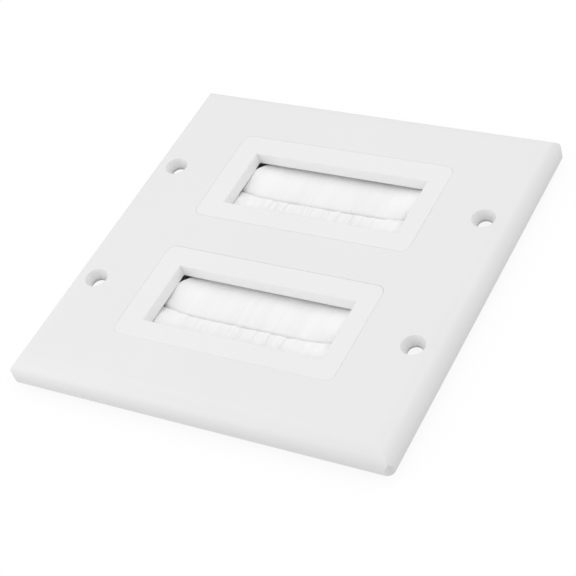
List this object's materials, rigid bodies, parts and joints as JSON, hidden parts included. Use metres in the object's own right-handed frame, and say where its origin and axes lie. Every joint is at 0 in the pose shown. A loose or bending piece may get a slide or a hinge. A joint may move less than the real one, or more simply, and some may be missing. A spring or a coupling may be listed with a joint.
{
  "type": "two-gang brush wall plate",
  "caption": "White two-gang wall plate whose two framed windows hold rows of bristles, for passing cables out of a wall box.",
  "frame": {"origin": "centre of the plate in the plane where its rim meets the wall", "axes": "+Z out of the front face, +Y up along the windows once it is on the wall, +X from the left gang to the right gang"},
  "size_m": [0.116, 0.1142, 0.0093],
  "materials": {
    "plate_plastic": "smooth white moulded plastic, low sheen",
    "insert_plastic": "smooth white moulded plastic, a little brighter than the plate",
    "retainer_plastic": "plain white moulded plastic",
    "channel_metal": "mill finish folded strip",
    "wire_metal": "drawn steel wire",
    "bristle_nylon": "white nylon filaments, soft sheen along their length"
  },
  "bodies": {
    "root": {"face_plate": "plate_plastic", "insert_frame_left": "insert_plastic", "retainer_left": "retainer_plastic", "insert_frame_right": "insert_plastic", "retainer_right": "retainer_plastic", "left_gang_left_channel": "channel_metal", "left_gang_left_wire": "wire_metal", "left_gang_left_bristles": "bristle_nylon", "left_gang_right_channel": "channel_metal", "left_gang_right_wire": "wire_metal", "left_gang_right_bristles": "bristle_nylon", "right_gang_left_channel": "channel_metal", "right_gang_left_wire": "wire_metal", "right_gang_left_bristles": "bristle_nylon", "right_gang_right_channel": "channel_metal", "right_gang_right_wire": "wire_metal", "right_gang_right_bristles": "bristle_nylon"}
  },
  "joints": []
}
